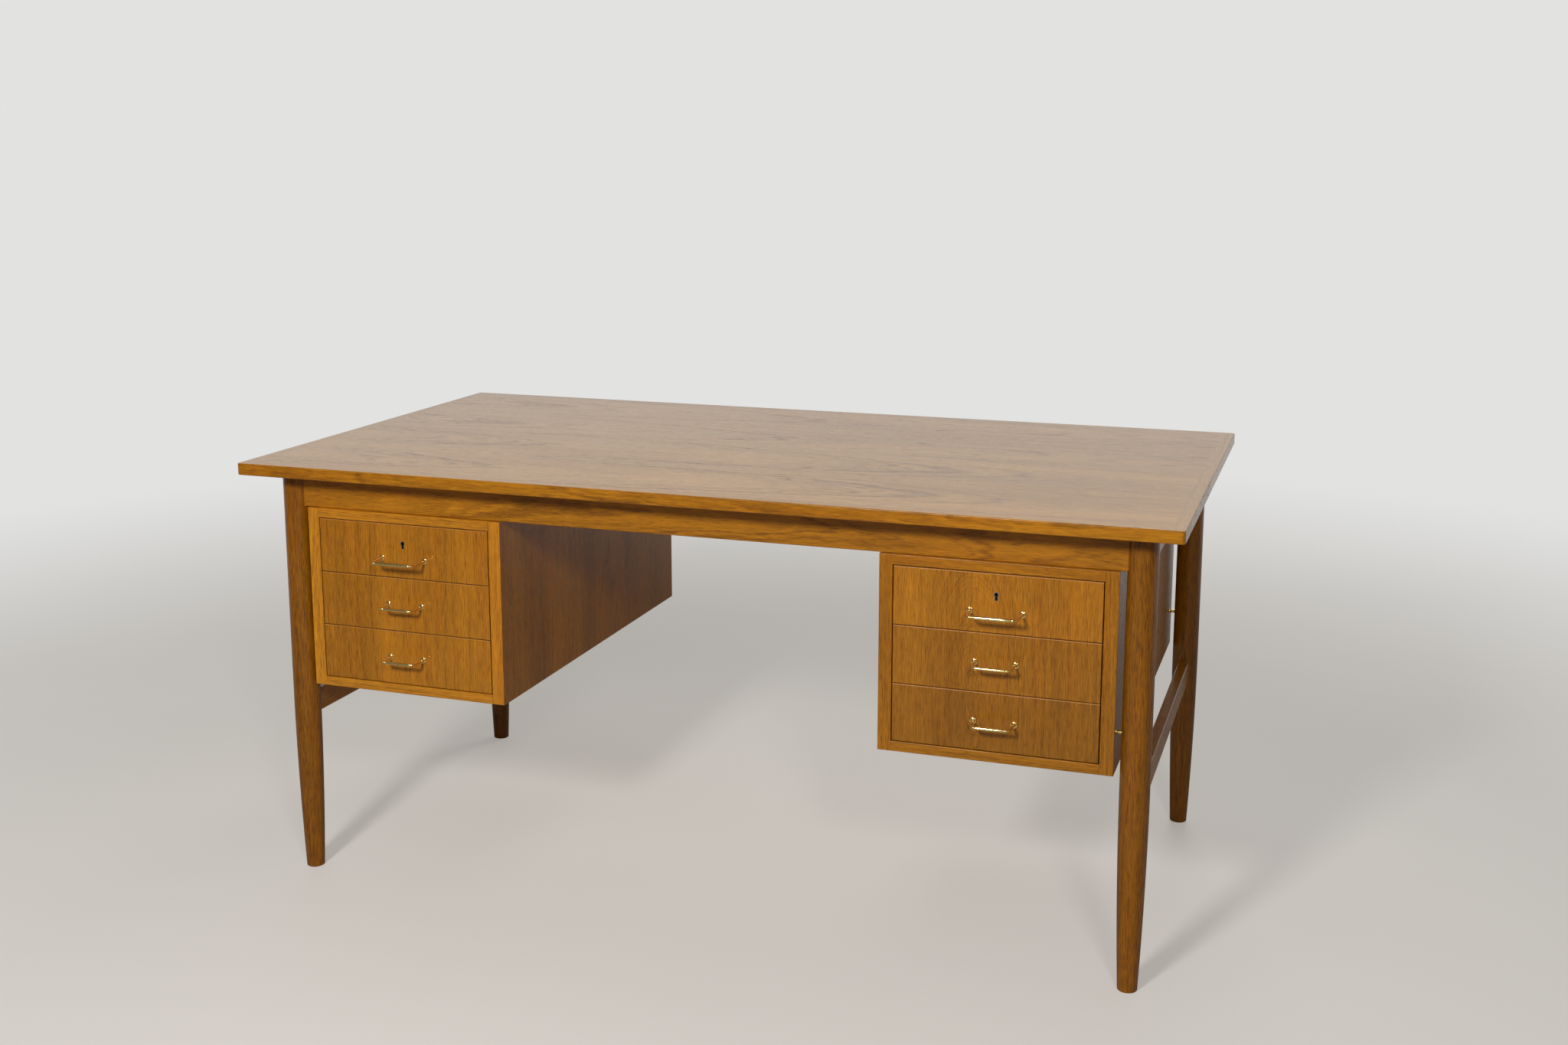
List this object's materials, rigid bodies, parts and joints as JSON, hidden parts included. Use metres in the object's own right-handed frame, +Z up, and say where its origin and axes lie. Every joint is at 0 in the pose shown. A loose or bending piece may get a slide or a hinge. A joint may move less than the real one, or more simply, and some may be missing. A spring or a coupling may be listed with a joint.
{
  "type": "executive desk",
  "caption": "Oak executive desk: lipped rectangular top on round tapered legs with rails and side stretchers, and hanging pedestals of flush drawers with brass pulls and locks.",
  "frame": {"origin": "on the floor, under the middle of the table top", "axes": "+X along the desk to the right as seen from the drawer side, +Y from the drawer side to the back, +Z up"},
  "size_m": [1.55, 0.84, 0.73],
  "materials": {
    "oak_top": "satin",
    "oak_veneer": "satin",
    "oak_solid": "satin",
    "drawer_wood": "matte",
    "plywood": "matte",
    "brass": "polished",
    "steel": "satin"
  },
  "bodies": {
    "frame": {"table_top": "oak_top", "top_lipping": "oak_solid", "front_left_leg": "oak_solid", "front_right_leg": "oak_solid", "rear_left_leg": "oak_solid", "rear_right_leg": "oak_solid", "front_rail": "oak_solid", "rear_rail": "oak_solid", "side_rails": "oak_solid", "side_stretchers": "oak_solid", "brass_spacers": "brass", "top_blocks": "drawer_wood", "pedestal_screws": "steel", "drawer_runners": "drawer_wood", "left_outer_side": "oak_veneer", "left_inner_side": "oak_veneer", "left_pedestal_top": "oak_veneer", "left_pedestal_bottom": "oak_veneer", "left_pedestal_back": "oak_veneer", "right_outer_side": "oak_veneer", "right_inner_side": "oak_veneer", "right_pedestal_top": "oak_veneer", "right_pedestal_bottom": "oak_veneer", "right_pedestal_back": "oak_veneer"},
    "left_top_drawer": {"left_top_drawer_front": "oak_veneer", "left_top_drawer_sides": "drawer_wood", "left_top_drawer_back": "drawer_wood", "left_top_drawer_bottom": "plywood", "left_top_drawer_handle": "brass", "left_lock_case": "steel", "left_keyhole_liner": "steel"},
    "left_middle_drawer": {"left_middle_drawer_front": "oak_veneer", "left_middle_drawer_sides": "drawer_wood", "left_middle_drawer_back": "drawer_wood", "left_middle_drawer_bottom": "plywood", "left_middle_drawer_handle": "brass"},
    "left_bottom_drawer": {"left_bottom_drawer_front": "oak_veneer", "left_bottom_drawer_sides": "drawer_wood", "left_bottom_drawer_back": "drawer_wood", "left_bottom_drawer_bottom": "plywood", "left_bottom_drawer_handle": "brass"},
    "left_bolt": {"left_lock_bolt": "steel"},
    "right_top_drawer": {"right_top_drawer_front": "oak_veneer", "right_top_drawer_sides": "drawer_wood", "right_top_drawer_back": "drawer_wood", "right_top_drawer_bottom": "plywood", "right_top_drawer_handle": "brass", "right_lock_case": "steel", "right_keyhole_liner": "steel"},
    "right_middle_drawer": {"right_middle_drawer_front": "oak_veneer", "right_middle_drawer_sides": "drawer_wood", "right_middle_drawer_back": "drawer_wood", "right_middle_drawer_bottom": "plywood", "right_middle_drawer_handle": "brass"},
    "right_bottom_drawer": {"right_bottom_drawer_front": "oak_veneer", "right_bottom_drawer_sides": "drawer_wood", "right_bottom_drawer_back": "drawer_wood", "right_bottom_drawer_bottom": "plywood", "right_bottom_drawer_handle": "brass"},
    "right_bolt": {"right_lock_bolt": "steel"}
  },
  "joints": [
    {"name": "left_top_drawer_slide", "type": "slide", "parent": "frame", "child": "left_top_drawer", "axis": [0, -1, 0], "range_m": [0, 0.42]},
    {"name": "left_middle_drawer_slide", "type": "slide", "parent": "frame", "child": "left_middle_drawer", "axis": [0, -1, 0], "range_m": [0, 0.42]},
    {"name": "left_bottom_drawer_slide", "type": "slide", "parent": "frame", "child": "left_bottom_drawer", "axis": [0, -1, 0], "range_m": [0, 0.42]},
    {"name": "left_bolt_throw", "type": "slide", "parent": "left_top_drawer", "child": "left_bolt", "axis": [0, 0, 1], "range_m": [0, 0.008]},
    {"name": "right_top_drawer_slide", "type": "slide", "parent": "frame", "child": "right_top_drawer", "axis": [0, -1, 0], "range_m": [0, 0.42]},
    {"name": "right_middle_drawer_slide", "type": "slide", "parent": "frame", "child": "right_middle_drawer", "axis": [0, -1, 0], "range_m": [0, 0.42]},
    {"name": "right_bottom_drawer_slide", "type": "slide", "parent": "frame", "child": "right_bottom_drawer", "axis": [0, -1, 0], "range_m": [0, 0.42]},
    {"name": "right_bolt_throw", "type": "slide", "parent": "right_top_drawer", "child": "right_bolt", "axis": [0, 0, 1], "range_m": [0, 0.008]}
  ]
}
